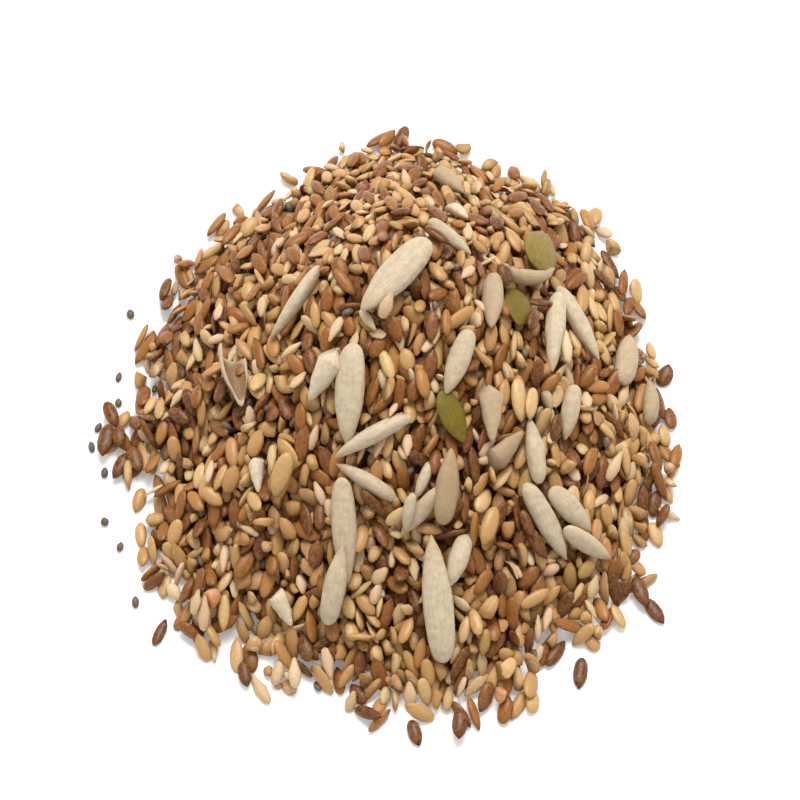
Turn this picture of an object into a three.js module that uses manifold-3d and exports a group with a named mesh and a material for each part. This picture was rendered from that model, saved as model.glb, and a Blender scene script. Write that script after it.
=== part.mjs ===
// A heap of mixed seeds as it lies when poured on a flat surface: long pale sunflower kernels, a few flat
// pumpkin seeds, and a great many linseeds and finer seeds between them.
// Lengths are in millimetres and headings in degrees. +Z is up, the heap's front faces -Y, and the origin
// is at the middle of its foot.
import * as THREE from "three";
import { mergeVertices } from "three/addons/utils/BufferGeometryUtils.js";
import Module from "manifold-3d";

// The heap as a whole
const HALF_WIDTH = 41; // along X, at the foot
const HALF_DEPTH = 51; // along Y, at the foot
const HEIGHT = 27; // of the smooth surface that the seeds make
const PEAK = new THREE.Vector2(-1, 8); // where the top stands over the foot, in plan
const TIP_ROUNDING = 0.2; // share of the run from peak to foot that the rounded top takes
const TOE_HOLLOW = 1.15; // above 1, the slope runs out gently at the foot
// Where the foot spills past an even oval, or falls short of it
const SPILLS = [
  { heading: 20, reach: -1.4, spread: 12 },
  { heading: 36, reach: -1, spread: 6 },
  { heading: 54, reach: 1.8, spread: 5 },
  { heading: 72, reach: -1.2, spread: 6 },
  { heading: 92, reach: 1.5, spread: 5 },
  { heading: 120, reach: -1.8, spread: 14 },
  { heading: 168, reach: 1.4, spread: 4 },
  { heading: 177, reach: -1, spread: 4 },
  { heading: 187, reach: 3, spread: 5.5 },
  { heading: 216, reach: 4.8, spread: 6 },
  { heading: 231, reach: 7, spread: 4 },
  { heading: 242, reach: -1.5, spread: 4 },
  { heading: 256, reach: -1, spread: 8 },
  { heading: 273, reach: 1.8, spread: 4 },
  { heading: 287, reach: 2.2, spread: 5 },
  { heading: 316, reach: 2.8, spread: 6 },
  { heading: 344, reach: 2, spread: 6 },
];
const OVERHANG = new THREE.Vector2(0.24, -0.36); // brings the middle of the whole outline to the origin

// The packed middle of the heap, with bumps as large as the small seeds that it stands for
const CORE_RINGS = 20;
const CORE_DEPTH = 0.9; // below the smooth surface, at the middle of the bumps
const BUMP = 0.75; // how far a bump rises or a dip falls
const TOE_HEIGHT = 1.35; // of the core's edge, about one seed
const TOE_UNEVENNESS = 0.35;
const EDGE_RAGGEDNESS = 1; // how far the core's edge strays in or out

// One seed of each kind: the poles of its mesh are its ends, and the butt is wider than the tip
const KERNEL = { length: 13, width: 5.2, thickness: 2.7, taper: 0.34, sides: 8, bands: 5 };
const PUMPKIN = { length: 13, width: 7.6, thickness: 2.2, taper: 0.24, sides: 10, bands: 5 };
const LINSEED = { length: 4.6, width: 2.3, thickness: 1.2, taper: 0.24, sides: 6, bands: 3 };
const SUNK = 0.3; // share of a large seed's thickness that lies below the smooth surface
const SUNK_ON_EDGE = 1.5; // how much deeper one on its edge is held by those round it
const FULLNESS = 0.4; // power by which a wider seed of a kind is also thicker

const LARGE_PITCH = 5; // how far a large seed's tip dips or rises from the slope

// Sunflower kernels: x, y, heading of the tip, length, width, and roll, near 90 for one on its edge
const KERNEL_PLACES = [
  [-1.3, 6.6, 231, 16, 5.8, 6],
  [6.6, 16.6, 308, 9.6, 2.8, 76],
  [-15.7, 6.5, 218, 12.6, 3.8, 52],
  [-7.6, -10.2, 260, 15.4, 5, 6],
  [-4.6, -15.2, 214, 12.8, 3.3, 58],
  [-5.4, -20.6, 144, 10.8, 3.3, 34],
  [-8.5, -27, 268, 15.6, 4.1, -8],
  [-9.4, -34.4, 80, 12.4, 3.8, 10],
  [4.9, -36.2, 99, 18.4, 5, -4],
  [7.7, -30.8, 255, 8.8, 3.4, 28],
  [6.2, -20.8, 92, 11.8, 3.7, 16],
  [2.4, -25.2, 230, 9.2, 3.1, -24],
  [2.7, -20.6, 248, 5.8, 2.3, -40],
  [20.4, -23.8, 305, 13.4, 3.8, 10],
  [24, -21.4, 327, 9.8, 4.5, 14],
  [26.4, -26, 329, 8.8, 3.2, 26],
  [18.8, -14.8, 112, 9.8, 3.4, 14],
  [26.1, 9.4, 301, 13.4, 3.8, 12],
  [22.3, 5.6, 262, 15.4, 3.7, 42],
  [34, 8.8, 75, 14, 4.2, -8],
  [13.1, 7.2, 264, 10.8, 3.6, 48],
  [8.2, -3.8, 255, 10.8, 3.7, 28],
  [7, 38.6, 300, 8.4, 3.2, 38],
  [37, 0, 87, 8, 3, 36],
  [18.4, 14.4, 28, 13.4, 4.6, -48],
];
// Broken kernels and empty halves of hulls, in the same way
const PIECE_PLACES = [
  [-11.4, -5.8, 219, 6.8, 4.4, -12],
  [14.6, -15.5, 52, 5.4, 3.4, 12],
  [12.5, -11, 275, 6.6, 3.6, 12],
  [8.4, 26.8, 293, 6, 2.8, -20],
  [-21, -17.4, 273, 5.8, 2.6, 12],
  [-17.3, -35.8, 290, 4.6, 3.2, 14],
  [22.8, -8, 272, 8.4, 4.8, 62],
  [-24.8, -2.3, 281, 12, 4.6, -24],
];
// Pumpkin seeds
const PUMPKIN_PLACES = [
  [17.2, 6.6, 75, 10, 5.6, 8],
  [6.9, -13, 302, 9, 5, -14],
  [21.2, 22, 75, 10.4, 6.2, 14],
];
const SLOPE_SEEDS = 96; // linseeds that show on the slopes, less those too near a large seed
const SLOPE_REACH = 0.96; // share of the run that they cover
const SEED_STRAY = 1; // how far each strays from its place
const SEED_SUNK = 0.35; // how far its middle lies below the smooth surface
const EDGE_SEEDS = 72; // linseeds that lie round the foot
const EDGE_SCATTER = 0.035; // share of the run by which those stray in or out
const EDGE_CLUSTERING = 0.8; // share of the room of each by which they stray along the edge
const CLEAR_OF_LARGE = 5.5; // between the middles of a small and a large seed
const SEED_TILT = 32; // how far small seeds lean from the slope that they lie on
const SIZE_SPREAD = 0.1; // share by which small seeds are longer or shorter
const DRAW = 20417; // seeds the random draws, so that the heap is the same each time

const GOLDEN_ANGLE = Math.PI * (3 - Math.sqrt(5));
const rad = THREE.MathUtils.degToRad;

// Random numbers from 0 to 1, the same ones on each run
function drawer(start) {
  let state = start;
  return () => {
    state = (state + 0x6d2b79f5) | 0;
    let mixed = Math.imul(state ^ (state >>> 15), 1 | state);
    mixed = (mixed + Math.imul(mixed ^ (mixed >>> 7), 61 | mixed)) ^ mixed;
    return ((mixed ^ (mixed >>> 14)) >>> 0) / 4294967296;
  };
}
const draw = drawer(DRAW);
const spread = (reach) => (2 * draw() - 1) * reach;

// How far the foot reaches from the origin on a heading in radians
function footReach(angle) {
  const oval = 1 / Math.hypot(Math.cos(angle) / HALF_WIDTH, Math.sin(angle) / HALF_DEPTH);
  const heading = THREE.MathUtils.radToDeg(angle);
  return SPILLS.reduce((reach, spill) => {
    const off = THREE.MathUtils.euclideanModulo(heading - spill.heading + 180, 360) - 180;
    return reach + spill.reach * Math.exp(-((off / spill.spread) ** 2));
  }, oval);
}

// A place in plan: share is 0 at the peak and 1 at the foot
function planPoint(share, angle) {
  const reach = footReach(angle);
  const foot = new THREE.Vector2(reach * Math.cos(angle), reach * Math.sin(angle));
  return PEAK.clone().lerp(foot, share);
}

// The other way round, by halving: the share of the run at which a place lies
function shareAt(x, y) {
  let low = 0.001;
  let high = 2;
  for (let step = 0; step < 30; step++) {
    const middle = (low + high) / 2;
    const fx = (x - PEAK.x * (1 - middle)) / middle;
    const fy = (y - PEAK.y * (1 - middle)) / middle;
    if (Math.hypot(fx, fy) < footReach(Math.atan2(fy, fx))) high = middle;
    else low = middle;
  }
  return (low + high) / 2;
}

// A cone with a rounded top and a foot that runs out gently
function heightAtShare(share) {
  const flank = (s) => Math.hypot(s, TIP_ROUNDING) - TIP_ROUNDING;
  const fall = Math.min(flank(share) / flank(1), 1);
  return HEIGHT * (1 - fall) ** TOE_HOLLOW;
}
const heightAt = (x, y) => heightAtShare(shareAt(x, y));

function normalAt(x, y) {
  const step = 1.5; // wide enough to pass over the tip's curve
  const slopeX = (heightAt(x + step, y) - heightAt(x - step, y)) / (2 * step);
  const slopeY = (heightAt(x, y + step) - heightAt(x, y - step)) / (2 * step);
  return new THREE.Vector3(-slopeX, -slopeY, 1).normalize();
}

// The core: rings of points with six more on each ring than on the one inside it, so that its triangles
// are all of one size, over a flat base
function coreGeometry() {
  const points = [];
  const faces = [];
  const starts = [];
  for (let ring = 0; ring <= CORE_RINGS; ring++) {
    const count = Math.max(1, 6 * ring);
    starts.push(points.length);
    for (let i = 0; i < count; i++) {
      const share = ring / CORE_RINGS;
      const plan = planPoint(share, (2 * Math.PI * i) / count);
      const out = plan.clone().normalize();
      if (ring === CORE_RINGS) plan.addScaledVector(out, spread(EDGE_RAGGEDNESS));
      const z = heightAtShare(share) - CORE_DEPTH + spread(BUMP);
      points.push(new THREE.Vector3(plan.x, plan.y, Math.max(z, TOE_HEIGHT + spread(TOE_UNEVENNESS))));
    }
  }
  for (let ring = 1; ring <= CORE_RINGS; ring++) {
    for (let side = 0; side < 6; side++) {
      const outerAt = (i) => starts[ring] + ((side * ring + i) % (6 * ring));
      const innerAt = (i) => starts[ring - 1] + (ring === 1 ? 0 : (side * (ring - 1) + i) % (6 * (ring - 1)));
      for (let i = 0; i < ring; i++) {
        faces.push(innerAt(i), outerAt(i), outerAt(i + 1));
        if (i < ring - 1) faces.push(innerAt(i), outerAt(i + 1), innerAt(i + 1));
      }
    }
  }
  const rimCount = 6 * CORE_RINGS;
  const rim = starts[CORE_RINGS];
  const foot = points.length;
  for (let i = 0; i < rimCount; i++) points.push(points[rim + i].clone().setZ(0));
  const middle = points.length;
  points.push(new THREE.Vector3(PEAK.x, PEAK.y, 0));
  for (let i = 0; i < rimCount; i++) {
    const next = (i + 1) % rimCount;
    faces.push(rim + i, foot + i, foot + next, rim + i, foot + next, rim + next);
    faces.push(middle, foot + next, foot + i);
  }
  return new THREE.BufferGeometry().setFromPoints(points).setIndex(faces);
}

const thicknessOf = (kind, width) => kind.thickness * (width / kind.width) ** FULLNESS;

// A flattened teardrop with its tip along +X and its flat sides facing +Z and -Z
function seedGeometry(kind, length, width) {
  const geometry = new THREE.SphereGeometry(1, kind.sides, kind.bands);
  geometry.rotateZ(-Math.PI / 2);
  const places = geometry.attributes.position;
  for (let i = 0; i < places.count; i++) {
    const along = places.getX(i);
    const girth = 1 - kind.taper * along;
    places.setXYZ(
      i,
      (along * length) / 2,
      (places.getY(i) * girth * width) / 2,
      (places.getZ(i) * girth * thicknessOf(kind, width)) / 2,
    );
  }
  return geometry;
}

// Turns and moves a seed so that it lies on the slope at a place, sunk by a part of its thickness
function laid(geometry, x, y, heading, roll, pitch, rise) {
  const normal = normalAt(x, y);
  const along = new THREE.Vector3(Math.cos(rad(heading)), Math.sin(rad(heading)), 0);
  along.addScaledVector(normal, -along.dot(normal)).normalize();
  const across = new THREE.Vector3().crossVectors(normal, along);
  const place = new THREE.Vector3(x, y, heightAt(x, y)).addScaledVector(normal, rise);
  return geometry
    .rotateX(rad(roll))
    .rotateY(rad(pitch))
    .applyMatrix4(new THREE.Matrix4().makeBasis(along, across, normal).setPosition(place));
}

const wasm = await Module();
wasm.setup();

function solid(geometry) {
  const bare = geometry.clone();
  bare.deleteAttribute("normal");
  bare.deleteAttribute("uv");
  const merged = mergeVertices(bare);
  return new wasm.Manifold(
    new wasm.Mesh({
      numProp: 3,
      vertProperties: new Float32Array(merged.attributes.position.array),
      triVerts: new Uint32Array(merged.index.array),
    }),
  );
}

function largeSeeds(kind, places) {
  return places.map(([x, y, heading, length, width, roll]) => {
    const onEdge = Math.abs(Math.sin(rad(roll)));
    const thickness = thicknessOf(kind, width);
    const standing = THREE.MathUtils.lerp(thickness, width, onEdge) / 2;
    const rise = standing - SUNK * thickness - SUNK_ON_EDGE * onEdge - CORE_DEPTH;
    return solid(laid(seedGeometry(kind, length, width), x, y, heading, roll, spread(LARGE_PITCH), rise));
  });
}

const largePlaces = [...KERNEL_PLACES, ...PIECE_PLACES, ...PUMPKIN_PLACES];
const clearOfLarge = (plan) =>
  largePlaces.every(([x, y]) => Math.hypot(plan.x - x, plan.y - y) > CLEAR_OF_LARGE);

const linseed = () => seedGeometry(LINSEED, LINSEED.length * (1 + spread(SIZE_SPREAD)), LINSEED.width);

// Linseeds spread over the slopes on a spiral that gives each the same room
function slopeSeeds() {
  const seeds = [];
  for (let i = 0; i < SLOPE_SEEDS; i++) {
    const share = SLOPE_REACH * Math.sqrt((i + 0.5) / SLOPE_SEEDS);
    const plan = planPoint(share, i * GOLDEN_ANGLE);
    plan.x += spread(SEED_STRAY);
    plan.y += spread(SEED_STRAY);
    if (!clearOfLarge(plan)) continue;
    const turn = [spread(180), spread(SEED_TILT), spread(SEED_TILT)];
    seeds.push(solid(laid(linseed(), plan.x, plan.y, ...turn, -SEED_SUNK)));
  }
  return seeds;
}

// Linseeds that lie flat round the foot and make its outline uneven
function edgeSeeds() {
  const seeds = [];
  for (let i = 0; i < EDGE_SEEDS; i++) {
    const angle = (2 * Math.PI * (i + spread(EDGE_CLUSTERING))) / EDGE_SEEDS;
    const plan = planPoint(1 - EDGE_SCATTER / 3 + spread(EDGE_SCATTER), angle);
    const lying = linseed().rotateZ(spread(Math.PI)).translate(plan.x, plan.y, LINSEED.thickness / 2);
    seeds.push(solid(lying));
  }
  return seeds;
}

// What lies below the surface that the heap stands on
function ground() {
  const size = 4 * HALF_DEPTH;
  return solid(new THREE.BoxGeometry(size, size, size).translate(0, 0, -size / 2));
}

function heapGeometry() {
  const pieces = [
    ...largeSeeds(KERNEL, KERNEL_PLACES),
    ...largeSeeds(KERNEL, PIECE_PLACES),
    ...largeSeeds(PUMPKIN, PUMPKIN_PLACES),
    ...slopeSeeds(),
    ...edgeSeeds(),
  ];
  const fused = pieces.reduce((whole, piece) => whole.add(piece), solid(coreGeometry())).subtract(ground());
  const joined = fused.decompose().reduce((most, body) => (body.volume() > most.volume() ? body : most));
  const mesh = joined.getMesh();
  const geometry = new THREE.BufferGeometry();
  geometry.setAttribute("position", new THREE.BufferAttribute(new Float32Array(mesh.vertProperties), 3));
  geometry.setIndex(new THREE.BufferAttribute(new Uint32Array(mesh.triVerts), 1));
  geometry.computeVertexNormals();
  return geometry;
}

const seedBrown = new THREE.MeshStandardMaterial({ color: 0x9e7d5a, roughness: 0.6, metalness: 0 });

const heap = new THREE.Mesh(heapGeometry(), seedBrown);
heap.name = "seed_heap";
heap.position.set(OVERHANG.x, OVERHANG.y, 0);

const mixedSeeds = new THREE.Group();
mixedSeeds.add(heap);

export default mixedSeeds;
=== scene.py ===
# A heap of mixed seeds as poured on a flat surface: brown and golden linseeds, hulled grains, cracked
# grain, chia, sunflower kernels, pumpkin seeds and crumbs of dried fruit. Each seed is a solid of its own
# size that lies on those below it, over a packed core that only shows between them, in a dark brown that is
# painted shade.
# Lengths in the tables are millimetres, and angles are degrees. The heap's front faces -Y.
import math

import bmesh
import bpy
import numpy as np
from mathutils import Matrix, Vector


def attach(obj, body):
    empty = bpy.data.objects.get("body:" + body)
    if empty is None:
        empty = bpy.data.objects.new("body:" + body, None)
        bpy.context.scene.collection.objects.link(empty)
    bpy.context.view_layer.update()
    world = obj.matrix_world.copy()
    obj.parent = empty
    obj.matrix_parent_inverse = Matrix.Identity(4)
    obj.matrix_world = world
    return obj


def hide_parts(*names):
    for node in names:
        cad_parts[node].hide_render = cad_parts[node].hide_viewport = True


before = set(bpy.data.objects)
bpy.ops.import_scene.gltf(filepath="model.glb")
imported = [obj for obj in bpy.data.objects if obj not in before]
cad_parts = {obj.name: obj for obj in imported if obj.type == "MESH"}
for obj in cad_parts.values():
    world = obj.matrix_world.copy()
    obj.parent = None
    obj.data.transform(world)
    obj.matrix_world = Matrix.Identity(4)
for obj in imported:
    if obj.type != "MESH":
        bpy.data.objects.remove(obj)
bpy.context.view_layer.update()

MM = 0.001
draw = np.random.default_rng(7306)

# ---------------------------------------------------------------- the heap's own form, as the solids have it
HALF_WIDTH, HALF_DEPTH, HEIGHT = 41.0, 51.0, 27.0
PEAK = (-1.0, 8.0)
TIP_ROUNDING = 0.2
TOE_HOLLOW = 1.15
# heading, reach and spread of each place where the foot spills out or falls short
SPILLS = (
    (20, -1.4, 12), (36, -1, 6), (54, 1.8, 5), (72, -1.2, 6), (92, 1.5, 5), (120, -1.8, 14),
    (168, 1.4, 4), (177, -1, 4), (187, 3, 5.5), (216, 4.8, 6), (231, 7, 4), (242, -1.5, 4),
    (256, -1, 8), (273, 1.8, 4), (287, 2.2, 5), (316, 2.8, 6), (344, 2, 6),
)
OVERHANG = (0.24, -0.36)  # from the middle of the foot to that of the whole outline


def foot_reach(angle):
    """How far the foot reaches from its middle on a heading in radians."""
    reach = 1 / np.hypot(np.cos(angle) / HALF_WIDTH, np.sin(angle) / HALF_DEPTH)
    for heading, extra, spread in SPILLS:
        off = (np.degrees(angle) - heading + 180) % 360 - 180
        reach = reach + extra * np.exp(-((off / spread) ** 2))
    return reach


def plan_point(share, angle):
    """A place in plan: share is 0 at the peak and 1 at the foot."""
    reach = foot_reach(angle)
    x = PEAK[0] * (1 - share) + reach * np.cos(angle) * share
    y = PEAK[1] * (1 - share) + reach * np.sin(angle) * share
    return x, y


def share_at(x, y):
    """The other way round, by halving."""
    low, high = np.full(np.shape(x), 0.001), np.full(np.shape(x), 2.0)
    for _ in range(30):
        middle = (low + high) / 2
        fx = (x - PEAK[0] * (1 - middle)) / middle
        fy = (y - PEAK[1] * (1 - middle)) / middle
        inside = np.hypot(fx, fy) < foot_reach(np.arctan2(fy, fx))
        high = np.where(inside, middle, high)
        low = np.where(inside, low, middle)
    return (low + high) / 2


def height_at_share(share):
    """A cone with a rounded top and a foot that runs out gently."""
    fall = (np.hypot(share, TIP_ROUNDING) - TIP_ROUNDING) / (math.hypot(1, TIP_ROUNDING) - TIP_ROUNDING)
    return HEIGHT * np.clip(1 - fall, 0, 1) ** TOE_HOLLOW


# ---------------------------------------------------------------- modelling one seed of each kind
def begin(name, size, segments, rings):
    """A ball stretched to a seed's length, width and thickness, with its poles at butt and tip."""
    bpy.ops.object.select_all(action="DESELECT")
    bpy.ops.mesh.primitive_uv_sphere_add(segments=segments, ring_count=rings, radius=0.5,
                                         rotation=(0, math.pi / 2, 0))
    seed = bpy.context.object
    seed.name = name
    bpy.ops.object.transform_apply(location=True, rotation=True, scale=True)
    bpy.ops.object.mode_set(mode="EDIT")
    bpy.ops.mesh.select_all(action="SELECT")
    bpy.ops.transform.resize(value=size, center_override=(0, 0, 0))
    return seed


def pick(seed, test):
    """Selects the points whose place passes the test."""
    shape = bmesh.from_edit_mesh(seed.data)
    bpy.ops.mesh.select_all(action="DESELECT")
    for point in shape.verts:
        point.select = bool(test(point.co))
    shape.select_flush_mode()
    bmesh.update_edit_mesh(seed.data)


def pull(seed, test, scale=(1, 1, 1), move=(0, 0, 0), about=(0, 0, 0)):
    """Scales and moves the points whose place passes the test."""
    pick(seed, test)
    bpy.ops.transform.resize(value=scale, center_override=about)
    bpy.ops.transform.translate(value=move)


def finish_seed(seed, smooth_levels=0):
    """Leaves edit mode, rounds the seed, and takes its points and faces off as arrays, in millimetres."""
    bpy.ops.object.mode_set(mode="OBJECT")
    if smooth_levels:
        rounding = seed.modifiers.new("rounding", "SUBSURF")
        rounding.levels = rounding.render_levels = smooth_levels
        bpy.ops.object.modifier_apply(modifier=rounding.name)
    points = np.array([p.co for p in seed.data.vertices])
    faces = [list(f.vertices) for f in seed.data.polygons]
    bpy.data.objects.remove(seed)
    middle = (points.max(0) + points.min(0)) / 2
    return {"points": points - middle, "faces": faces}


def linseed(length, width, thickness, beak, bend):
    """A flat drop with a thin edge and a small beak that leans to one side."""
    seed = begin("linseed", (length, width, thickness), 8, 7)
    half = length / 2
    pull(seed, lambda p: p.x > 0.3 * half, scale=(1, 0.92, 0.94))
    pull(seed, lambda p: p.x > 0.7 * half, scale=(1, beak, 0.85), move=(0, bend / 2, 0))
    pull(seed, lambda p: p.x > 0.95 * half, move=(0.02 * length, bend, 0))
    pull(seed, lambda p: p.x < -0.3 * half, scale=(1, 1.08, 1.05))
    pull(seed, lambda p: abs(p.y) < 0.38 * width and abs(p.z) > 0.2 * thickness, scale=(1, 1, 0.93))
    return finish_seed(seed)


def grain(length, width, thickness, blunt):
    """A hulled grain: plump, blunt at the butt, with one face flatter than the other."""
    seed = begin("grain", (length, width, thickness), 8, 6)
    half = length / 2
    pull(seed, lambda p: p.x > 0.4 * half, scale=(1, blunt, blunt))
    pull(seed, lambda p: p.x < -0.7 * half, scale=(1, 1.2, 1.15))
    pull(seed, lambda p: p.z < -0.1 * thickness, scale=(1, 1, 0.7))
    return finish_seed(seed)


def cracked(size, planes, segments=8, rings=6):
    """A piece of cracked grain: a rounded lump cut along flat breaks."""
    seed = begin("cracked", size, segments, rings)
    for place, normal in planes:
        bpy.ops.mesh.select_all(action="SELECT")
        bpy.ops.mesh.bisect(plane_co=place, plane_no=normal, use_fill=True, clear_outer=True)
    return finish_seed(seed)


def flake(length, width, curl):
    """A curled sliver of bran or seed coat, thin as paper."""
    seed = begin("flake", (length, width, 0.32), 8, 7)
    pull(seed, lambda p: abs(p.x) > 0.3 * length / 2, move=(0, 0, -curl / 4))
    pull(seed, lambda p: abs(p.x) > 0.6 * length / 2, scale=(1, 0.85, 1), move=(0, 0, -curl / 3))
    pull(seed, lambda p: abs(p.x) > 0.9 * length / 2, move=(0, 0.1, -curl / 3))
    return finish_seed(seed)


def chia():
    """A small plump oval."""
    seed = begin("chia", (1.8, 1.2, 0.9), 6, 5)
    pull(seed, lambda p: p.x > 0.5, scale=(1, 0.85, 0.85))
    return finish_seed(seed)


def kernel(length, width, thickness, tip, bow):
    """A hulled sunflower kernel: a broad round butt, a long pointed tip and a seam round its edge."""
    seed = begin("kernel", (length, width, thickness), 16, 13)
    half = length / 2
    pull(seed, lambda p: p.x > -0.1 * half, scale=(1, 0.97, 0.98))
    pull(seed, lambda p: p.x > 0.2 * half, scale=(1, 0.92, 0.94))
    pull(seed, lambda p: p.x > 0.5 * half, scale=(1, 0.84, 0.9))
    pull(seed, lambda p: p.x > 0.75 * half, scale=(1, tip, 0.85))
    pull(seed, lambda p: p.x < -0.5 * half, scale=(1, 1.1, 1.06))
    pull(seed, lambda p: p.x < -0.85 * half, scale=(1, 1.2, 1.1), move=(0.02 * length, 0, 0))
    pull(seed, lambda p: abs(p.y) > 0.42 * width and abs(p.z) < 0.08 * thickness, scale=(1, 0.93, 1))
    pull(seed, lambda p: abs(p.x) > 0.4 * half, move=(0, 0, -bow / 3))
    pull(seed, lambda p: abs(p.x) > 0.75 * half, move=(0, 0, -bow))
    pull(seed, lambda p: abs(p.y) < 0.1 * width and p.z > 0, scale=(1, 1, 0.93))
    return finish_seed(seed, smooth_levels=1)


def broken_kernel(length, width, thickness, cut, lean):
    """A kernel that has snapped across."""
    seed = begin("broken_kernel", (2 * length, width, thickness), 16, 13)
    pull(seed, lambda p: p.x > 0.3 * length, scale=(1, 0.86, 0.9))
    pull(seed, lambda p: p.x > 0.6 * length, scale=(1, 0.8, 0.86))
    bpy.ops.mesh.select_all(action="SELECT")
    bpy.ops.mesh.bisect(plane_co=(cut, 0, 0), plane_no=(-1, lean, 0.3), use_fill=True, clear_outer=True)
    bpy.ops.mesh.select_all(action="SELECT")
    bpy.ops.mesh.bisect(plane_co=(cut + 0.6, 0, 0.3 * thickness), plane_no=(-1, -lean, 1.4),
                        use_fill=True, clear_outer=True)
    return finish_seed(seed)


def husk(length, width, depth):
    """Half of an empty hull, open upwards, that comes to a point at one end and has broken off short of
    the other."""
    seed = begin("husk", (length, width, 2 * depth), 14, 11)
    pull(seed, lambda p: p.x > 0.1 * length, scale=(1, 0.88, 0.9))
    pull(seed, lambda p: p.x > 0.3 * length, scale=(1, 0.72, 0.8))
    bpy.ops.mesh.select_all(action="SELECT")
    bpy.ops.mesh.bisect(plane_co=(0, 0, 0), plane_no=(0.12, 0.1, 1), clear_outer=True)
    bpy.ops.mesh.select_all(action="SELECT")
    bpy.ops.mesh.bisect(plane_co=(-0.18 * length, 0, 0), plane_no=(-1, 0.3, -0.2), clear_outer=True)
    bpy.ops.object.mode_set(mode="OBJECT")
    wall = seed.modifiers.new("wall", "SOLIDIFY")
    wall.thickness = 0.45
    bpy.ops.object.modifier_apply(modifier=wall.name)
    return finish_seed(seed, smooth_levels=1)


def pumpkin_seed(length, width, thickness):
    """A hulled pumpkin seed: a flat oval that comes to a point, crowned, with a thin edge."""
    seed = begin("pumpkin_seed", (length, width, thickness), 20, 13)
    half = length / 2
    pull(seed, lambda p: p.x > 0.1 * half, scale=(1, 0.96, 0.96))
    pull(seed, lambda p: p.x > 0.45 * half, scale=(1, 0.86, 0.9))
    pull(seed, lambda p: p.x > 0.75 * half, scale=(1, 0.72, 0.8), move=(0.02 * length, 0, 0))
    pull(seed, lambda p: p.x < -0.4 * half, scale=(1, 1.06, 1))
    pull(seed, lambda p: abs(p.y) > 0.4 * width, scale=(1, 1, 0.75))
    pull(seed, lambda p: abs(p.y) < 0.3 * width, scale=(1, 1, 0.9))
    return finish_seed(seed, smooth_levels=1)


def fruit_crumb(size, planes):
    """A shrivelled crumb of dried fruit."""
    seed = begin("fruit_crumb", size, 12, 9)
    pull(seed, lambda p: math.sin(9 * p.y + 4 * p.x) > 0.2, scale=(1, 0.86, 0.8))
    pull(seed, lambda p: math.sin(5 * p.x - 7 * p.z) > 0.4, scale=(0.9, 1, 0.85), move=(0, 0.1, 0))
    for place, normal in planes:
        bpy.ops.mesh.select_all(action="SELECT")
        bpy.ops.mesh.bisect(plane_co=place, plane_no=normal, use_fill=True, clear_outer=True)
    return finish_seed(seed, smooth_levels=1)


# Each kind: its forms, how much one differs from another in size, and how plump the room that it takes is
KINDS = {
    "brown_linseeds": {
        "forms": [linseed(4.7, 2.1, 1.05, 0.8, 0.08), linseed(4.5, 2.15, 1.15, 0.85, -0.1),
                  linseed(5.0, 2.05, 1.0, 0.75, 0.04)],
        "spread": 0.1,
    },
    "golden_linseeds": {
        "forms": [linseed(4.5, 2.05, 1.05, 0.8, -0.08), linseed(4.2, 2.05, 1.1, 0.85, 0.06)],
        "spread": 0.11,
    },
    "hulled_grains": {
        "forms": [grain(3.5, 1.7, 1.05, 0.75), grain(3.8, 1.6, 1.1, 0.65)],
        "spread": 0.14,
    },
    "cracked_grains": {
        "forms": [
            cracked((3.8, 2.2, 1.6), [((0.8, 0, 0), (1, 0.3, 0.5)), ((0, 0, -0.3), (0.2, 0.1, -1))]),
            cracked((3.9, 2.0, 1.5), [((-0.5, 0, 0), (-1, 0.5, 0.2)), ((0, 0.4, 0), (0.1, 1, 0.4))]),
            cracked((3.5, 2.2, 1.6), [((0, 0, 0.25), (0.3, -0.2, 1)), ((0, -0.5, 0), (-0.4, -1, -0.3))]),
        ],
        "spread": 0.2,
    },
    "grain_crumbs": {
        "forms": [
            cracked((2.4, 1.5, 1.2), [((0.4, 0, 0), (1, 0.4, 0.3)), ((0, -0.3, 0), (0.3, -1, 0.2))], 6, 5),
            cracked((2.2, 1.4, 1.1), [((0, 0, 0.2), (0.2, 0.3, 1)), ((-0.4, 0, 0), (-1, 0.2, 0.3))], 6, 5),
        ],
        "spread": 0.22,
    },
    "flakes": {"forms": [flake(4.2, 1.7, 0.5), flake(3.4, 1.9, 0.3)], "spread": 0.18},
    "chia": {"forms": [chia()], "spread": 0.1},
    "sunflower_kernels": {
        "forms": [kernel(13, 5.2, 3.1, 0.72, 0.1), kernel(13, 5.1, 3.2, 0.62, 0.3),
                  kernel(13, 5.3, 3.0, 0.8, -0.15), kernel(13, 5.2, 3.0, 0.75, -1.3)],
        "spread": 0.03,
    },
    "kernel_pieces": {
        "forms": [broken_kernel(7, 5.0, 2.9, -0.5, 0.5), broken_kernel(7, 4.6, 2.7, -1.2, -0.35)],
        "spread": 0.08,
    },
    "husks": {"forms": [husk(10, 5, 2.4)], "spread": 0.03},
    "pumpkin_seeds": {"forms": [pumpkin_seed(12.6, 7.4, 2.3)], "spread": 0.03},
    "fruit_crumbs": {
        "forms": [fruit_crumb((4.4, 3.2, 1.6), [((0.9, 0, 0), (1, 0.6, 0.1))]),
                  fruit_crumb((3.6, 2.6, 1.7), [((-0.7, 0, 0), (-1, 0.3, 0.4))])],
        "spread": 0.15,
    },
}
for kind in KINDS.values():
    for form in kind["forms"]:
        form["half"] = np.ptp(form["points"], axis=0) / 2


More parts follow.
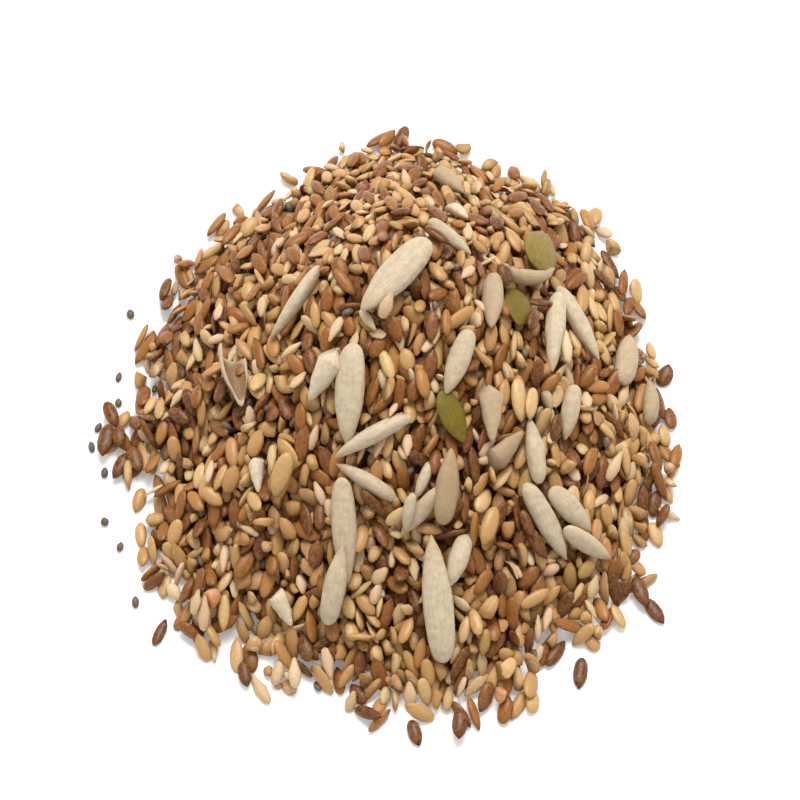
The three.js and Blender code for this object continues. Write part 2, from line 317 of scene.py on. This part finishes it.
# ---------------------------------------------------------------- letting seeds fall and settle
CELL = 0.25  # of the grid that holds how high the heap has grown
MARGIN = 14
GRID_X = np.arange(-HALF_WIDTH - MARGIN, HALF_WIDTH + MARGIN, CELL)
GRID_Y = np.arange(-HALF_DEPTH - MARGIN, HALF_DEPTH + MARGIN, CELL)
CORE_DEPTH = 3.4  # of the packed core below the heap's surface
grid_share = share_at(GRID_X[None, :], GRID_Y[:, None])
smooth_surface = height_at_share(grid_share)
grown = np.clip(smooth_surface - CORE_DEPTH, 0, None)
placed = {name: [] for name in KINDS}


def turned(normal, heading, roll, pitch):
    """The three directions of a seed that lies on a slope: along it, across it and up from it."""
    along = np.array([math.cos(heading), math.sin(heading), 0.0])
    along -= normal * (along @ normal)
    along /= np.linalg.norm(along)
    across = np.cross(normal, along)
    up = math.cos(roll) * normal - math.sin(roll) * across
    across = np.cross(up, along)
    dipped = math.cos(pitch) * along - math.sin(pitch) * up
    return np.stack([dipped, across, np.cross(dipped, across)], axis=1)


def window(x, y, reach):
    """The part of the grid within reach of a place, and how far its cells lie from that place."""
    i, j = int((x - GRID_X[0]) / CELL), int((y - GRID_Y[0]) / CELL)
    n = int(reach / CELL) + 1
    rows, columns = slice(j - n, j + n + 1), slice(i - n, i + n + 1)
    return rows, columns, GRID_X[None, columns] - x, GRID_Y[rows, None] - y


STEEPEST = 1.1  # rise over run of the steepest bed that a seed lies against


def slope_under(x, y, reach):
    """The normal of the plane that fits what has grown so far."""
    rows, columns, dx, dy = window(x, y, reach)
    heights = grown[rows, columns]
    spread = (dx**2).mean()
    level = heights - heights.mean()
    slope = np.array([(level * dx).mean(), (level * dy).mean()]) / spread
    slope *= min(1.0, STEEPEST / max(np.hypot(*slope), 1e-6))
    normal = np.array([-slope[0], -slope[1], 1.0])
    return normal / np.linalg.norm(normal)


def rest(x, y, axes, half, give):
    """How high a seed comes to lie, and the shape of its upper side. It is taken as an ellipsoid."""
    matrix = (axes / half**2) @ axes.T
    rows, columns, dx, dy = window(x, y, half[0])
    a = matrix[2, 2]
    b = matrix[0, 2] * dx + matrix[1, 2] * dy
    c = matrix[0, 0] * dx**2 + 2 * matrix[0, 1] * dx * dy + matrix[1, 1] * dy**2 - 1
    inner = b * b - a * c
    covers = inner > 0
    root = np.sqrt(np.where(covers, inner, 0))
    under = (-b - root) / a
    gap = (grown[rows, columns] - under)[covers]
    rank = int((len(gap) - 1) * give)
    z = np.partition(gap, rank)[rank]
    low = -math.sqrt(np.linalg.inv(matrix)[2, 2])
    return max(z, -low), (rows, columns, covers, (-b + root) / a)


LARGE = ("sunflower_kernels", "kernel_pieces", "husks", "pumpkin_seeds")
SUNK_ON_EDGE = 1.2  # how much deeper a large seed on its edge is held by those round it


def settle(kind, x, y, heading, roll=0.0, tries=1, lean=0.0, size=(1, 1, 1), form=None, give=0.9, flat=False,
           tone=None, ceiling=math.inf):
    """Drops a seed at a place and keeps the lowest of a few ways of lying there, if that is below the
    ceiling."""
    forms = KINDS[kind]["forms"]
    number = int(draw.integers(len(forms))) if form is None else form
    spread = KINDS[kind]["spread"]
    scale = np.array(size) * np.clip(1 + spread * draw.standard_normal(3), 1 - 2 * spread, 1 + 2 * spread)
    half = forms[number]["half"] * scale
    best = None
    for _ in range(tries):
        jitter = 0.5 if tries > 1 else 0.0
        px, py = x + jitter * draw.standard_normal(), y + jitter * draw.standard_normal()
        normal = np.array([0, 0, 1.0]) if flat else slope_under(px, py, 0.7 * half[0])
        turn = heading + (0.3 * draw.standard_normal() if tries > 1 else 0.0)
        axes = turned(normal, turn, roll + lean * draw.standard_normal(), lean * draw.standard_normal())
        z, cover = rest(px, py, axes, half, give)
        if best is None or z < best[0]:
            best = (z, px, py, axes, cover)
    z, px, py, axes, (rows, columns, covers, above) = best
    if z > ceiling:
        return False
    z -= SUNK_ON_EDGE * abs(math.sin(roll)) if kind in LARGE else 0
    patch = grown[rows, columns]
    patch[covers] = np.maximum(patch[covers], (z + above)[covers])
    own_tone = float(np.clip(0.5 + 0.8 * (draw.random() - 0.5) + 0.25 * clustering(px, py), 0, 1))
    placed[kind].append((number, px, py, z, axes, scale, own_tone if tone is None else tone))
    return True


# The small kinds, and how common each is by count, on the left of the heap and on the right
MIX = {
    "brown_linseeds": (0.38, 0.27),
    "golden_linseeds": (0.16, 0.21),
    "hulled_grains": (0.11, 0.12),
    "cracked_grains": (0.16, 0.23),
    "grain_crumbs": (0.09, 0.11),
    "flakes": (0.03, 0.03),
    "chia": (0.03, 0.03),
}
# Where one sort has gathered: x, y, reach, and how far the mix shifts to that of the right or the left
PATCHES = (
    (-29, -9, 6, 0.8), (14, -2, 6, 0.5), (17.5, -6, 5, 0.8), (31, -9, 8, 0.5), (13.5, -25, 5, 1),
    (0, 34, 9, 0.1), (31, -30, 6, 0.6), (-24, -38, 6, 0.6), (1, 5, 8, -0.5),
    (-20, -30, 10, 1.4), (25, -9, 4, -0.8), (7, -46, 8, -0.2), (22, -36, 6, -0.4),
    (-32, -16, 8, 0.4), (34, -16, 8, 0.8), (30, 10, 9, 0.7), (-2, -20, 8, -0.4), (8, -8, 6, -0.3),
)
MOST_SMALL = 12000
MISSES = 60  # goes that find nowhere low before the pouring ends
HIGHEST_OVER = 1.0  # how far a small seed's middle may lie above what is wanted
SEED_LEAN = 0.33  # radians by which small seeds lean from the slope under them
DOWNHILL_BIAS = 0.9  # share of small seeds that lie more along Y than across it


# Seeds gather in clusters as they are poured: waves over the heap, each with its length, heading and phase
CLUSTER_WAVES = [(draw.uniform(6, 15), draw.uniform(0, math.pi), draw.uniform(0, 2 * math.pi))
                 for _ in range(12)]
CLUSTER_STRETCH = 0.75  # below 1, clusters are longer along Y


def clustering(x, y):
    """How pale the seeds are that have gathered at a place, from -1 to 1."""
    waves = 0.0
    for length, turn, phase in CLUSTER_WAVES:
        run = x * math.cos(turn) + CLUSTER_STRETCH * y * math.sin(turn)
        waves += math.sin(2 * math.pi * run / length + phase)
    return math.tanh(waves / 2.4)


def small_kind(x, y):
    """Draws a small kind by the mix at a place."""
    shift = sum(more * math.exp(-((x - px) ** 2 + (y - py) ** 2) / reach**2)
                for px, py, reach, more in PATCHES)
    rightness = np.clip(0.5 + x / 50 + shift, -0.3, 1.4)
    odds = np.array([max(left + (right - left) * rightness, 0.02) for left, right in MIX.values()])
    odds[0] *= 1 - 0.6 * clustering(x, y)  # the brown ones gather where the pale ones don't
    return list(MIX)[draw.choice(len(odds), p=odds / odds.sum())]


def pour(region, target, enough, blocked=None):
    """Drops small seeds into the lowest places until nearly all of the target is reached."""
    cells = np.argwhere(region)
    target = target.copy()
    misses = 0
    kind = None
    for count in range(MOST_SMALL):
        tries = cells[draw.integers(len(cells), size=28)]
        lack = target[tries[:, 0], tries[:, 1]] - grown[tries[:, 0], tries[:, 1]]
        if blocked is not None:
            lack = lack - 50 * blocked[tries[:, 0], tries[:, 1]]
        best = lack.argmax()
        if lack[best] < enough:
            misses += 1
            if misses > MISSES:
                break
            continue
        j, i = tries[best]
        if draw.random() < DOWNHILL_BIAS:
            heading = draw.choice([-1, 1]) * math.pi / 2 + 0.34 * draw.standard_normal()
        else:
            heading = draw.uniform(-math.pi, math.pi)
        roll = draw.uniform(0.8, 1.4) if draw.random() < 0.1 else 0.0
        kind = kind or small_kind(GRID_X[i], GRID_Y[j])
        if settle(kind, GRID_X[i], GRID_Y[j], heading, roll, tries=3, lean=SEED_LEAN,
                  ceiling=target[j, i] + HIGHEST_OVER):
            kind = None
        else:
            target[j, i] = 0  # a gap that this seed only bridges; the seed goes to another place


# Sunflower kernels: x, y, heading of the tip, length, width, roll, which is near 90 for one on its edge,
# and for some a tone, from 0, pale, to 1, tan
KERNEL_PLACES = (
    (-1.3, 6.1, 231, 15.4, 5.6, 6, 0.3), (6.8, 16.8, 316, 9, 2.6, 58, 0.5), (-15.8, 6.5, 219, 13, 3.1, 50, 0),
    (-7.8, -10, 261, 16, 4.8, 6), (-4.6, -15.2, 214, 12.8, 3, 56, 0), (-5.4, -20.7, 144, 10.8, 2.6, 34, 0.5),
    (-8.5, -27, 268, 15.6, 4.1, -8), (-9.8, -34.4, 73, 12.6, 3.6, 10), (4.7, -36.2, 98, 18.6, 5, -4, 0),
    (7.7, -30.8, 255, 8.8, 3.2, 28), (2.4, -25, 236, 9, 2.6, -24, 0.6), (0.6, -26, 250, 6, 1.8, 20, 0.2),
    (2.7, -20.8, 245, 6.2, 1.8, -40, 0), (20.4, -23.8, 305, 13.4, 3.6, 10), (24, -21.9, 327, 9.4, 3.7, 14),
    (26.4, -26, 329, 8.8, 3, 26), (18.8, -14.8, 108, 9.8, 3.2, 14), (26.1, 9.2, 301, 13.4, 3.3, 12, 0.3),
    (22.3, 5.6, 264, 15.4, 3.2, 42), (33.6, 6.6, 72, 11.6, 4, -8, 0.7), (12.9, 6.2, 264, 10.8, 3.4, 48, 0.8),
    (7.7, -5.3, 257, 10.8, 3.4, 28, 0.4), (7, 36.6, 300, 7.6, 3, 38, 0.8), (37, 0, 87, 8, 3, 36, 0.8),
    (6.1, -21.9, 92, 12, 3.8, 12, 1), (24.2, -7.2, 268, 8.8, 3, 25, 0.5), (20.9, -6.4, 285, 3.6, 1.8, 0, 0.8),
)
ARCHED_KERNEL = (18.4, 13.9, 28, 12.6, 3.4, -44, 0.9)
# Broken kernels, broken halves of hulls and pumpkin seeds, in the same way
PIECE_PLACES = (
    (-11.5, -7, 219, 6.6, 4.6, -12, 0.1), (14.6, -15.5, 52, 5.4, 3.4, 12, 1),
    (12.5, -11, 275, 6.8, 3.6, 12, 0.7), (8.3, 25.4, 280, 6, 2.6, -20), (-21.2, -17.4, 273, 5.8, 2.6, 12, 0),
    (-17.3, -35.8, 290, 4.6, 3.2, 14),
)
HUSK_PLACES = ((-24.8, -2.6, 277, 10, 4.4, -62, 0),)
PUMPKIN_PLACES = (
    (16.7, 7.1, 258, 7.8, 5.2, 4, 0.2), (6.9, -12.5, 300, 8, 4.6, -14, 0.1), (20.8, 21.6, 60, 9.6, 7, 10, 1),
)
# Small seeds that catch the eye: kind, x, y, heading, size against the usual, and for some a tone. The brown
# linseeds of the darkest tones lie in the gaps beside kernels as painted shade, for the shadow the kernels
# cast there
SHOWN_GRAINS = (
    ("hulled_grains", -2.5, 0.7, 80, 1.25), ("hulled_grains", 24, 2.6, 95, 1.25),
    ("hulled_grains", 30.9, -13.1, 70, 1.25), ("hulled_grains", -27.9, 11.8, 110, 1.25),
    ("hulled_grains", -28.6, -36, 85, 1.3), ("hulled_grains", -29.8, -34.6, 60, 1.2),
    ("hulled_grains", -20.5, -46, 120, 1.3), ("hulled_grains", -15.5, -44.6, 95, 1.25),
    ("hulled_grains", -18, -43.8, 75, 1.2), ("hulled_grains", -19, -16.6, 276, 1.1),
    ("golden_linseeds", 16.6, -8.1, 285, 1.3, 1), ("golden_linseeds", 18.4, -8.4, 262, 1.2, 1),
    ("golden_linseeds", 12.1, -26.4, 256, 1.45), ("golden_linseeds", -17.5, -19.6, 255, 1.4),
    # painted shade: tones 0 and 0.1 make these brown linseeds the darkest, for the shadow beside the kernels
    ("brown_linseeds", 4.9, 14.9, 318, 1.1, 0), ("brown_linseeds", 14.7, 11, 290, 1, 0),
    ("brown_linseeds", 18.9, 5, 235, 1, 0), ("brown_linseeds", 20.3, 9.8, 20, 0.9, 0),
    ("brown_linseeds", 19, -26.8, 300, 1.1, 0.1), ("brown_linseeds", 17.6, -24.6, 290, 1, 0.1),
    ("brown_linseeds", -4.4, -23.8, 300, 1, 0), ("brown_linseeds", 22, -10.4, 265, 0.9, 0),
)


def lay_large_seeds():
    """Lays the pumpkin seeds and kernels on the bed of small seeds."""
    for kind, whole, places in (
        ("pumpkin_seeds", (12.6, 7.4), PUMPKIN_PLACES),
        ("sunflower_kernels", (13, 5.2), KERNEL_PLACES + (ARCHED_KERNEL,)),
        ("kernel_pieces", (7, 4.8), PIECE_PLACES),
        ("husks", (6.8, 5), HUSK_PLACES),
    ):
        for place in places:
            x, y, heading, length, width, roll, *tone = place
            size = (length / whole[0], width / whole[1], (width / whole[1]) ** 0.4)
            form = 3 if place is ARCHED_KERNEL else int(draw.integers(min(3, len(KINDS[kind]["forms"]))))
            give = 1.0 if kind == "husks" else 0.9
            settle(kind, x, y, math.radians(heading), math.radians(roll), size=size, form=form, give=give,
                   tone=tone[0] if tone else 0.5 * draw.random())


CLEARANCE = 1.4  # round a large seed, where the middle of a small one doesn't come to lie


def footprint_of_large():
    """The cells under the middles of the large seeds, where no small one comes to lie."""
    covered = np.zeros_like(grown)
    for name in LARGE:
        for number, x, y, z, axes, scale, _ in placed[name]:
            half = KINDS[name]["forms"][number]["half"] * scale + CLEARANCE
            matrix = np.linalg.inv(((axes * half**2) @ axes.T)[:2, :2])
            rows, columns, dx, dy = window(x, y, half[0])
            inside = matrix[0, 0] * dx**2 + 2 * matrix[0, 1] * dx * dy + matrix[1, 1] * dy**2 < 1
            covered[rows, columns] = np.maximum(covered[rows, columns], inside)
    return covered


# Single seeds that rolled clear of the heap: kind, x, y and heading
STRAYS = (
    ("brown_linseeds", -44.6, -5.6, 262), ("brown_linseeds", -42.6, -5.2, 278),
    ("brown_linseeds", -44, -1, 292), ("brown_linseeds", -42.2, -9.8, 250),
    ("brown_linseeds", -40, -9, 290), ("brown_linseeds", 36.2, -33.7, 300),
    ("brown_linseeds", 34.2, -31, 285), ("brown_linseeds", 25.1, -43.6, 262),
    ("brown_linseeds", -35.1, -37, 70), ("brown_linseeds", -22.7, -44, 280),
    ("brown_linseeds", 1.5, -53, 285), ("brown_linseeds", 7.8, -52.2, 265),
    ("chia", -42.2, 18, 100), ("chia", -43.4, 6.5, 80), ("chia", -43.2, 1.9, 95), ("chia", -46, -2.5, 70),
    ("chia", -46.8, -5.9, 100), ("chia", -44.6, -10.4, 90), ("chia", -44.1, -18.8, 110),
    ("chia", -41.6, -23, 80), ("chia", -38.9, -32.1, 95),
)
FRUIT_PLACES = ((13.6, -47.9), (14.8, -44.3), (-27.4, -33.7))


def scatter():
    """Puts the fruit crumbs, the grains that catch the eye and the strays where they lie."""
    for x, y in FRUIT_PLACES:
        settle("fruit_crumbs", x, y, draw.uniform(-math.pi, math.pi))
    for kind, x, y, heading, size, *tone in SHOWN_GRAINS:
        settle(kind, x, y, math.radians(heading), size=(size, size, size), tone=tone[0] if tone else None)
    for kind, x, y, heading in STRAYS:
        settle(kind, x, y, math.radians(heading), flat=True, tone=0.15 * draw.random())


LAYER_UNDER_LARGE = 0.8
TOE_COVER = 0.9  # what even the outermost cell has grown to once a seed covers it
# How the edge comes and goes: for each wave its share of the run, number round the foot, and phase
EDGE_WAVES = ((0.014, 19, 1.0), (0.012, 31, 2.2), (0.012, 53, 0.4), (0.008, 83, 4.0))

heading_of_cell = np.arctan2(GRID_Y[:, None] - PEAK[1], GRID_X[None, :] - PEAK[0])
edge = 0.978 + sum(size * np.sin(number * heading_of_cell + phase) for size, number, phase in EDGE_WAVES)
within = grid_share < edge
wanted = np.maximum(smooth_surface, TOE_COVER)
pour(within, wanted - np.clip(smooth_surface, 0, LAYER_UNDER_LARGE), 0.4)
lay_large_seeds()
pour(within, wanted - 0.3, 0.4, footprint_of_large())
scatter()


# ---------------------------------------------------------------- joined meshes
def joined(name):
    """One mesh of all the seeds of a kind. Each point keeps its place on its own seed, as -1 to 1 along
    each side, in the attribute on_seed, and a number of that seed's own from 0 to 1 in tone."""
    points, seats, tones, loops, starts = [], [], [], [], []
    offset = corner = 0
    shift = np.array([OVERHANG[0], OVERHANG[1], 0.0])
    for number, x, y, z, axes, scale, tone in placed[name]:
        form = KINDS[name]["forms"][number]
        local = (form["points"] * scale) @ axes.T + np.array([x, y, z]) + shift
        local[:, 2] += max(0.0, -local[:, 2].min())
        points.append(local)
        seats.append(form["points"] / form["half"])
        tones.append(np.full(len(local), tone))
        for face in form["faces"]:
            starts.append(corner)
            corner += len(face)
            loops.extend(offset + v for v in face)
        offset += len(local)
    mesh = bpy.data.meshes.new(name)
    mesh.vertices.add(offset)
    mesh.vertices.foreach_set("co", (np.concatenate(points) * MM).ravel())
    mesh.loops.add(len(loops))
    mesh.loops.foreach_set("vertex_index", loops)
    mesh.polygons.add(len(starts))
    mesh.polygons.foreach_set("loop_start", starts)
    mesh.polygons.foreach_set("use_smooth", [True] * len(starts))
    mesh.attributes.new("on_seed", "FLOAT_VECTOR", "POINT").data.foreach_set(
        "vector", np.concatenate(seats).ravel())
    mesh.attributes.new("tone", "FLOAT", "POINT").data.foreach_set("value", np.concatenate(tones))
    mesh.update(calc_edges=True)
    mesh.validate()
    piece = bpy.data.objects.new(name, mesh)
    bpy.context.scene.collection.objects.link(piece)
    return piece


# ---------------------------------------------------------------- the packed core
CORE_RINGS = 16
CORE_POINTS = 96


def packed_core():
    """The middle of the heap: rings drawn in and up from its foot to the peak, with bumps of seed size."""
    bpy.ops.object.select_all(action="DESELECT")
    edge = 0.93  # share of the run at which the core meets the ground
    bpy.ops.mesh.primitive_circle_add(vertices=CORE_POINTS, radius=HALF_WIDTH * MM, fill_type="NGON")
    core = bpy.context.object
    core.name = "packed_core"
    bpy.ops.object.mode_set(mode="EDIT")
    outline = bmesh.from_edit_mesh(core.data)
    for point in outline.verts:
        x, y = plan_point(edge, math.atan2(point.co.y, point.co.x))
        point.co = (x * MM, y * MM, 0)
    bmesh.update_edit_mesh(core.data)
    bpy.ops.mesh.select_all(action="SELECT")
    peak = (PEAK[0] * MM, PEAK[1] * MM, 0)
    share, height = edge, 0.0
    for ring in range(1, CORE_RINGS + 1):
        next_share = edge * (1 - ring / (CORE_RINGS + 0.5))
        next_height = max(float(height_at_share(next_share)) - CORE_DEPTH, 0.3 * ring)
        bpy.ops.mesh.extrude_region_move()
        bpy.ops.transform.resize(value=(next_share / share,) * 2 + (1,), center_override=peak)
        bpy.ops.transform.translate(value=(0, 0, (next_height - height) * MM))
        share, height = next_share, next_height
    bpy.ops.object.mode_set(mode="OBJECT")
    fine = core.modifiers.new("fine", "SUBSURF")
    fine.levels = fine.render_levels = 1
    grains = bpy.data.textures.new("grains", "VORONOI")
    grains.noise_scale = 2.6 * MM
    relief = core.modifiers.new("relief", "DISPLACE")
    relief.texture = grains
    relief.strength = -1.2 * MM
    relief.mid_level = 0.3
    for modifier in (fine, relief):
        bpy.ops.object.modifier_apply(modifier=modifier.name)
    bpy.ops.object.shade_smooth()
    core.location = (OVERHANG[0] * MM, OVERHANG[1] * MM, 0.6 * MM)
    bpy.ops.object.transform_apply(location=True, rotation=True, scale=True)
    return core


# ---------------------------------------------------------------- materials
def linear(hex_colour):
    """An sRGB colour such as '9e7d5a' as linear red, green, blue and alpha."""
    parts = [int(hex_colour[i:i + 2], 16) / 255 for i in (0, 2, 4)]
    return tuple(c / 12.92 if c <= 0.04045 else ((c + 0.055) / 1.055) ** 2.4 for c in parts) + (1.0,)


def add(tree, kind, settings=None, **links):
    """Adds a node, sets its properties and sockets, and links sockets of it to outputs of others."""
    node = tree.nodes.new(kind)
    for key, value in (settings or {}).items():
        if isinstance(key, str) and hasattr(node, key):
            setattr(node, key, value)
        else:
            node.inputs[key].default_value = value
    for key, source in links.items():
        tree.links.new(node.inputs[int(key[1:]) if key[1:].isdigit() else key.replace("_", " ")], source)
    return node


def ramp(tree, factor, colours, places=None):
    """A colour ramp over evenly spread or given places."""
    node = add(tree, "ShaderNodeValToRGB", _0=factor)
    places = places or [i / (len(colours) - 1) for i in range(len(colours))]
    stops = node.color_ramp.elements
    while len(stops) < len(colours):
        stops.new(0.5)
    for stop, colour, place in zip(stops, colours, places):
        stop.position = place
        stop.color = linear(colour)
    return node.outputs["Color"]


def coat(name, tones, streak, roughness, mottle_mm, mottle, bump_mm, soft=0.0, gloss=0.35, tip=None,
         skin=None):
    """A dry seed's surface: each seed has its own tone, mottled and streaked along its length, and some a
    darker tip, or a skin where they haven't broken."""
    material = bpy.data.materials.new(name)
    material.use_nodes = True
    tree = material.node_tree
    shader = tree.nodes["Principled BSDF"]
    tone = add(tree, "ShaderNodeAttribute", {"attribute_name": "tone"}).outputs["Fac"]
    seat = add(tree, "ShaderNodeAttribute", {"attribute_name": "on_seed"}).outputs["Vector"]
    place = add(tree, "ShaderNodeTexCoord").outputs["Object"]
    own = ramp(tree, tone, tones)
    spots = add(tree, "ShaderNodeTexNoise", {"Scale": 1 / (mottle_mm * MM), "Detail": 3.0}, Vector=place)
    stretched = add(tree, "ShaderNodeMapping", {"Scale": (0.6, 9.0, 9.0)}, Vector=seat)
    lines = add(tree, "ShaderNodeTexNoise", {"Scale": 1.0, "Detail": 2.0}, Vector=stretched.outputs["Vector"])
    blend = add(tree, "ShaderNodeMath", {"operation": "MULTIPLY_ADD", 1: 0.6},
                _0=lines.outputs["Fac"], _2=spots.outputs["Fac"])
    spread = add(tree, "ShaderNodeMapRange", {"From Min": 0.55, "From Max": 1.1}, Value=blend.outputs[0])
    tinted = add(tree, "ShaderNodeMix", {"data_type": "RGBA", "blend_type": "MIX", "B": linear(streak)},
                 A=own)
    weight = add(tree, "ShaderNodeMath", {"operation": "MULTIPLY", 1: mottle}, _0=spread.outputs["Result"])
    tree.links.new(tinted.inputs[0], weight.outputs[0])
    colour = tinted.outputs["Result"]
    if tip:
        along = add(tree, "ShaderNodeSeparateXYZ", _0=seat).outputs["X"]
        near_tip = add(tree, "ShaderNodeMapRange", {"From Min": 0.55, "From Max": 1.05, "To Max": 0.8},
                       Value=along)
        tipped = add(tree, "ShaderNodeMix", {"data_type": "RGBA", "B": linear(tip)}, A=colour)
        tree.links.new(tipped.inputs[0], near_tip.outputs["Result"])
        colour = tipped.outputs["Result"]
    if skin:
        out = add(tree, "ShaderNodeVectorMath", {"operation": "LENGTH"}, _0=seat).outputs["Value"]
        unbroken = add(tree, "ShaderNodeMapRange", {"From Min": 0.8, "From Max": 0.95, "To Max": 0.85},
                       Value=out)
        skinned = add(tree, "ShaderNodeMix", {"data_type": "RGBA", "B": linear(skin)}, A=colour)
        tree.links.new(skinned.inputs[0], unbroken.outputs["Result"])
        colour = skinned.outputs["Result"]
    tree.links.new(shader.inputs["Base Color"], colour)
    shader.inputs["Roughness"].default_value = roughness
    shader.inputs["Specular IOR Level"].default_value = gloss
    shader.inputs["Subsurface Weight"].default_value = soft
    shader.inputs["Subsurface Scale"].default_value = 0.8 * MM
    relief = add(tree, "ShaderNodeBump", {"Strength": 0.6, "Distance": bump_mm * MM}, Height=blend.outputs[0])
    tree.links.new(shader.inputs["Normal"], relief.outputs["Normal"])
    return material


def core_painted_shade():
    """Seeds deep in the heap, which only show between those on top, in a dark brown that is painted shade."""
    material = bpy.data.materials.new("seeds_in_shade")
    material.use_nodes = True
    tree = material.node_tree
    place = add(tree, "ShaderNodeTexCoord").outputs["Object"]
    cells = add(tree, "ShaderNodeTexVoronoi", {"Scale": 1 / (2.2 * MM)}, Vector=place)
    # painted shade: these dark browns stand in for the shadow in the gaps between the seeds on top
    colour = ramp(tree, cells.outputs["Distance"], ["64360f", "3c1c06"])
    tree.links.new(tree.nodes["Principled BSDF"].inputs["Base Color"], colour)
    tree.nodes["Principled BSDF"].inputs["Roughness"].default_value = 0.7
    return material


BROWNS = ["47200e", "58290c", "6c3b1f", "7b4618", "8a5523", "a8753f", "b48a58"]
FINISHES = {
    # linseed coat, a satin reddish brown, a little mottled
    "brown_linseeds": (coat("brown_linseed_coat", BROWNS, "b3844e", 0.3, 0.5, 0.45, 0.03, gloss=0.2,
                            tip="4a260c"), "linseed_brown"),
    # the golden sort of linseed, satin
    "golden_linseeds": (coat("golden_linseed_coat", ["a07f43", "b98a54", "c39a60", "d0ad78"], "83592b",
                             0.36, 0.5, 0.35, 0.03, gloss=0.35, tip="94672f"), "linseed_golden"),
    # hulled grain, dull and pale
    "hulled_grains": (coat("hulled_grain_skin", ["c2a373", "ccb084", "d2b08e", "d7bf99"], "a68458",
                           0.55, 0.4, 0.35, 0.05, soft=0.1, tip="b08c5c"), "hulled_grain"),
    # cracked grain, floury yellow breaks inside a tan bran
    "cracked_grains": (coat("cracked_grain", ["a97f48", "bd9960", "cfae7b", "d8c095"], "94683a",
                            0.65, 0.35, 0.45, 0.08, soft=0.1, skin="a97b45"), "linseed_golden"),
    "grain_crumbs": (coat("crushed_grain", ["a98148", "c09b64", "ccab74", "d4b582"], "8e632e",
                          0.65, 0.35, 0.4, 0.08, soft=0.1, skin="b28652"), "linseed_golden"),
    # bran and seed coat, papery and dull
    "flakes": (coat("bran", ["94683a", "b98f5c", "cfae80"], "7c5229", 0.7, 0.4, 0.4, 0.05, soft=0.1),
               "hulled_grain"),
    # chia coat, dark and mottled with grey
    "chia": (coat("chia_coat", ["463a31", "62523f", "3a2f27"], "8f7c63", 0.45, 0.25, 0.5, 0.02), "chia"),
    # sunflower kernel, dull grey-cream with fine ribs along it and a darker tip
    "sunflower_kernels": (coat("sunflower_kernel_skin", ["cabb9d", "c1af92", "a68c6a"], "8f7658",
                               0.6, 0.9, 0.5, 0.25, soft=0.12, tip="a78c65"), "sunflower_kernel"),
    # the same where it has broken, a little more floury
    "kernel_pieces": (coat("broken_kernel_flesh", ["d6c6ab", "c3ad8e", "a98e6f"], "937853",
                           0.62, 0.7, 0.45, 0.18, soft=0.12), "sunflower_kernel"),
    # empty hull, fibrous, grey-cream outside and brown inside
    "husks": (coat("sunflower_hull_skin", ["8a6a48", "7d6045"], "5f452e",
                   0.6, 0.6, 0.5, 0.18, skin="c3af92"), "sunflower_kernel"),
    # pumpkin seed, a brownish olive green, satin
    "pumpkin_seeds": (coat("pumpkin_seed_skin", ["7b6a20", "675410", "8c7638"], "473b10",
                           0.5, 0.8, 0.5, 0.1, gloss=0.2), "pumpkin_seed"),
    # dried fruit, orange flesh with a matt bloom
    "fruit_crumbs": (coat("dried_fruit", ["c48a57", "cf9e6a", "b8703f"], "d9b98a",
                          0.5, 0.5, 0.4, 0.1, soft=0.1), "dried_fruit"),
}

for name, (material, slot_name) in FINISHES.items():
    piece = joined(name)
    piece.data.materials.append(material)
    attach(piece, "root")
    if name == "brown_linseeds":
        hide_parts("seed_heap")

core = packed_core()
core.data.materials.append(core_painted_shade())
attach(core, "root")


# ---------------------------------------------------------------- floor, light and camera
def plain_floor():
    """A white sheet under the heap, lit a little from below so that it shows no grey."""
    bpy.ops.object.select_all(action="DESELECT")
    bpy.ops.mesh.primitive_plane_add(size=6, location=(0, 0, 0))
    floor = bpy.context.object
    floor.name = "floor"
    material = bpy.data.materials.new("white_paper")
    material.use_nodes = True
    shader = material.node_tree.nodes["Principled BSDF"]
    shader.inputs["Base Color"].default_value = linear("f8f8f8")
    shader.inputs["Roughness"].default_value = 0.9
    shader.inputs["Specular IOR Level"].default_value = 0.1
    shader.inputs["Emission Color"].default_value = linear("ffffff")
    shader.inputs["Emission Strength"].default_value = 0.15
    floor.data.materials.append(material)


def soft_light(name, place, size, power):
    """A large soft lamp that faces the heap."""
    lamp = bpy.data.lights.new(name, "AREA")
    lamp.size = size
    lamp.energy = power
    lamp_object = bpy.data.objects.new(name, lamp)
    lamp_object.location = place
    lamp_object.rotation_euler = (-Vector(place)).to_track_quat("-Z", "Y").to_euler()
    bpy.context.scene.collection.objects.link(lamp_object)


def studio():
    """Even white surroundings with one softbox above and behind."""
    world = bpy.data.worlds.new("studio")
    bpy.context.scene.world = world
    world.use_nodes = True
    background = world.node_tree.nodes["Background"]
    background.inputs["Color"].default_value = (1, 1, 1, 1)
    background.inputs["Strength"].default_value = 0.72
    soft_light("softbox", (0.05, 0.4, 0.76), 0.5, 8.4)
    bpy.context.scene.view_settings.view_transform = "Standard"


CAMERA_ELEVATION = 58
CAMERA_DISTANCE = 420
LOOK_AT = (-0.6, 2.6, 0.0)  # in the heap's own plan
PIXELS_PER_MM = 6.6
PICTURE = 800


def photo_camera():
    """The camera at the photograph's viewing angle."""
    lens = bpy.data.cameras.new("camera")
    lens.sensor_width = 36
    lens.lens = lens.sensor_width * PIXELS_PER_MM * CAMERA_DISTANCE / PICTURE
    lens.clip_start, lens.clip_end = 0.01, 10
    camera = bpy.data.objects.new("camera", lens)
    tilt = math.radians(CAMERA_ELEVATION)
    back = Vector((0, -math.cos(tilt), math.sin(tilt)))
    aim = Vector((LOOK_AT[0] + OVERHANG[0], LOOK_AT[1] + OVERHANG[1], LOOK_AT[2])) * MM
    camera.location = aim + back * CAMERA_DISTANCE * MM
    camera.rotation_euler = (-back).to_track_quat("-Z", "Y").to_euler()
    bpy.context.scene.collection.objects.link(camera)
    bpy.context.scene.camera = camera


plain_floor()
studio()
photo_camera()
